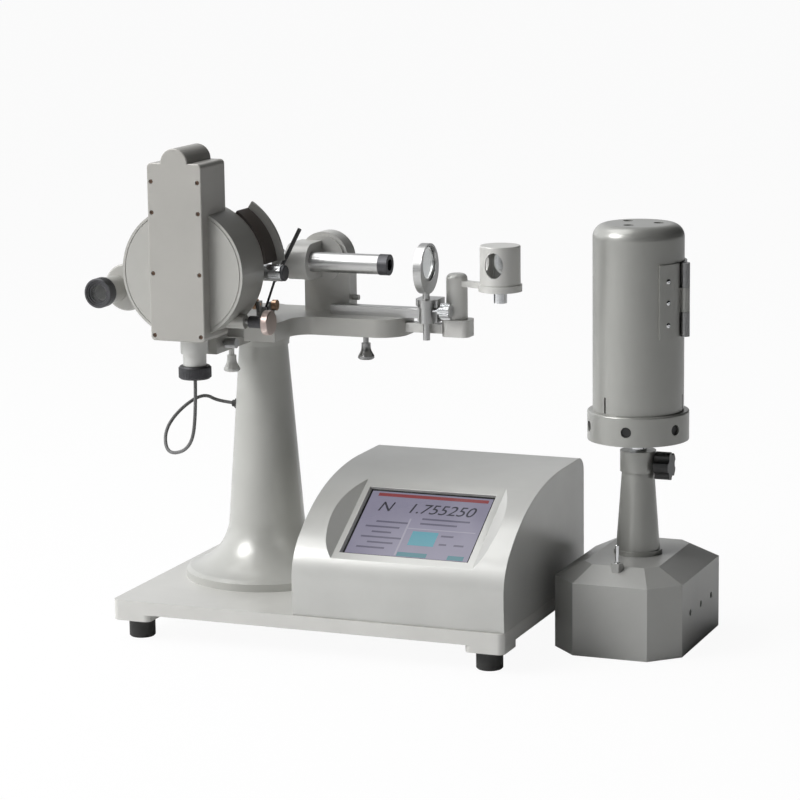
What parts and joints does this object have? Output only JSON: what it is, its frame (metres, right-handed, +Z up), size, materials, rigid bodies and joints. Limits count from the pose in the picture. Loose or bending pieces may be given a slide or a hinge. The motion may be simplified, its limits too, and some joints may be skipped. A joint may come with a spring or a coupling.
{
  "type": "v-prism refractometer",
  "caption": "Bench V-prism refractometer: telescope circle with encoder box on a flared column, optical bench with lens and mirror turret, touch-screen console, and a separate spectral lamp.",
  "frame": {"origin": "on the bench under the middle of the whole set, lamp included", "axes": "+X to the right along the optical axis towards the lamp, +Y to the back, +Z up; the screen faces -Y"},
  "size_m": [0.5611, 0.252, 0.4517],
  "materials": {
    "paint_grey": "satin",
    "paint_light": "satin",
    "paint_console": "satin",
    "rubber_dark": "matte",
    "cable_grey": "satin",
    "chrome": "polished",
    "steel": "brushed",
    "screw_steel": "satin",
    "anodised_grey": "satin",
    "aluminium": "satin",
    "brown_inside": "matte",
    "brass": "polished",
    "glass": "polished",
    "bulb_glass": "clear",
    "mirror": "polished",
    "display": "gloss",
    "black_plastic": "matte",
    "disc_glass": "polished"
  },
  "bodies": {
    "stand": {"base_tray": "paint_light", "base_feet": "rubber_dark", "column": "paint_grey", "cable_grommet": "black_plastic", "head_casting": "paint_grey", "drum_housing": "paint_grey", "encoder_box": "paint_grey", "encoder_cover": "paint_grey", "cover_screws": "screw_steel", "shaft_bearings": "steel", "read_head": "black_plastic", "connector_body": "paint_light", "signal_cable": "cable_grey", "prism_shade": "brown_inside", "prism_table": "steel", "v_prism": "glass", "lever_bracket": "aluminium", "collimator_bracket": "paint_light", "collimator_tube": "paint_light", "rail_bar": "aluminium", "console_fascia": "paint_console", "console_body": "paint_console", "display_panel": "display", "lamp_base": "paint_light", "lamp_post": "paint_light"},
    "telescope": {"main_shaft": "steel", "encoder_disc": "disc_glass", "telescope_carrier": "paint_grey", "telescope_tube": "paint_grey", "objective_lens": "glass", "telescope_elbow": "paint_grey", "elbow_prism": "glass"},
    "eyepiece": {"eyepiece_ring": "anodised_grey", "eyepiece_lens": "glass"},
    "plug_ring": {"connector_ring": "anodised_grey"},
    "circle_clamp": {"circle_clamp_knob": "chrome"},
    "fine_drive": {"tangent_screw": "chrome"},
    "head_lock": {"lock_knob": "paint_light"},
    "stop_screw": {"stop_knob": "anodised_grey"},
    "arm_clamp": {"arm_clamp_knob": "aluminium"},
    "lever": {"lever_rod": "steel"},
    "lever_stop_left": {"lever_screw_left": "brass"},
    "lever_stop_right": {"lever_screw_right": "brass"},
    "slit": {"slit_ring": "anodised_grey"},
    "slider": {"slider_bar": "paint_light"},
    "lens_slide": {"lens_holder": "aluminium"},
    "lens": {"lens_mount": "paint_light", "condenser_lens": "glass"},
    "lens_clamp": {"lens_knob": "aluminium"},
    "mirror_arm": {"mirror_post": "paint_light"},
    "turret": {"turret_shell": "aluminium", "turret_mirror": "mirror"},
    "turret_clamp": {"turret_nut": "aluminium"},
    "lamp_mast": {"lamp_stem": "chrome"},
    "lamp_head": {"lamp_collar": "paint_light", "lamp_housing": "paint_light", "lamp_bulb": "bulb_glass"},
    "lamp_shutter": {"lamp_door": "anodised_grey"},
    "lamp_clamp": {"lamp_star_knob": "black_plastic"},
    "lamp_switch": {"lamp_toggle": "chrome"}
  },
  "joints": [
    {"name": "telescope_swing", "type": "hinge", "parent": "stand", "child": "telescope", "pos_m": [-0.1543, -0.062, 0.3395], "axis": [0, 1, 0], "range_deg": [-14, 46]},
    {"name": "eyepiece_turn", "type": "hinge", "parent": "telescope", "child": "eyepiece", "pos_m": [-0.2638, -0.062, 0.3096], "axis": [0, 1, 0], "range_deg": [-120, 120]},
    {"name": "plug_ring_turn", "type": "hinge", "parent": "stand", "child": "plug_ring", "pos_m": [-0.1488, -0.104, 0.249], "axis": [0, 0, 1], "continuous": true},
    {"name": "circle_clamp_turn", "type": "hinge", "parent": "stand", "child": "circle_clamp", "pos_m": [-0.09, -0.056, 0.3345], "axis": [1, 0, 0], "range_deg": [-90, 90]},
    {"name": "fine_drive_turn", "type": "hinge", "parent": "stand", "child": "fine_drive", "pos_m": [-0.09, -0.09, 0.2945], "axis": [1, 0, 0], "continuous": true},
    {"name": "head_lock_turn", "type": "hinge", "parent": "stand", "child": "head_lock", "pos_m": [-0.145, -0.034, 0.25], "axis": [0, 0, 1], "range_deg": [-90, 90]},
    {"name": "stop_screw_turn", "type": "hinge", "parent": "stand", "child": "stop_screw", "pos_m": [-0.128, -0.069, 0.2705], "axis": [1, 0, 0], "continuous": true},
    {"name": "arm_clamp_turn", "type": "hinge", "parent": "stand", "child": "arm_clamp", "pos_m": [-0.025, -0.0005, 0.26], "axis": [0, 0, 1], "range_deg": [-90, 90]},
    {"name": "lever_swing", "type": "hinge", "parent": "stand", "child": "lever", "pos_m": [-0.1111, -0.0315, 0.297], "axis": [0, 1, 0], "range_deg": [-30, 5]},
    {"name": "lever_stop_left_turn", "type": "hinge", "parent": "stand", "child": "lever_stop_left", "pos_m": [-0.12, -0.0315, 0.301], "axis": [1, 0, 0], "continuous": true},
    {"name": "lever_stop_right_turn", "type": "hinge", "parent": "stand", "child": "lever_stop_right", "pos_m": [-0.102, -0.0315, 0.301], "axis": [1, 0, 0], "continuous": true},
    {"name": "slit_turn", "type": "hinge", "parent": "stand", "child": "slit", "pos_m": [0, -0.012, 0.3395], "axis": [1, 0, 0], "range_deg": [-90, 90]},
    {"name": "slider_travel", "type": "slide", "parent": "stand", "child": "slider", "axis": [1, 0, 0], "range_m": [0, 0.03]},
    {"name": "lens_travel", "type": "slide", "parent": "stand", "child": "lens_slide", "axis": [1, 0, 0], "range_m": [-0.01, 0]},
    {"name": "lens_height", "type": "slide", "parent": "lens_slide", "child": "lens", "axis": [0, 0, 1], "range_m": [-0.005, 0.015]},
    {"name": "lens_clamp_turn", "type": "hinge", "parent": "lens_slide", "child": "lens_clamp", "pos_m": [0.058, -0.012, 0.2995], "axis": [1, 0, 0], "continuous": true},
    {"name": "mirror_arm_swing", "type": "hinge", "parent": "slider", "child": "mirror_arm", "pos_m": [0.062, 0.0055, 0.3], "axis": [0, 0, 1], "range_deg": [-25, 25]},
    {"name": "turret_turn", "type": "hinge", "parent": "mirror_arm", "child": "turret", "pos_m": [0.11, -0.012, 0.34], "axis": [0, 0, 1], "continuous": true},
    {"name": "turret_clamp_turn", "type": "hinge", "parent": "turret", "child": "turret_clamp", "pos_m": [0.11, -0.012, 0.315], "axis": [0, 0, 1], "continuous": true},
    {"name": "lamp_height", "type": "slide", "parent": "stand", "child": "lamp_mast", "axis": [0, 0, 1], "range_m": [-0.01, 0.05]},
    {"name": "lamp_turn", "type": "hinge", "parent": "lamp_mast", "child": "lamp_head", "pos_m": [0.222, 0.041, 0.2], "axis": [0, 0, 1], "continuous": true},
    {"name": "shutter_swing", "type": "hinge", "parent": "lamp_head", "child": "lamp_shutter", "pos_m": [0.26716, 0.03465, 0.313], "axis": [0, 0, 1], "range_deg": [-100, 0]},
    {"name": "lamp_clamp_turn", "type": "hinge", "parent": "stand", "child": "lamp_clamp", "pos_m": [0.2465, 0.041, 0.16], "axis": [1, 0, 0], "continuous": true},
    {"name": "lamp_switch_tilt", "type": "hinge", "parent": "stand", "child": "lamp_switch", "pos_m": [0.222, -0.021, 0.08], "axis": [1, 0, 0], "range_deg": [-12, 12]}
  ]
}
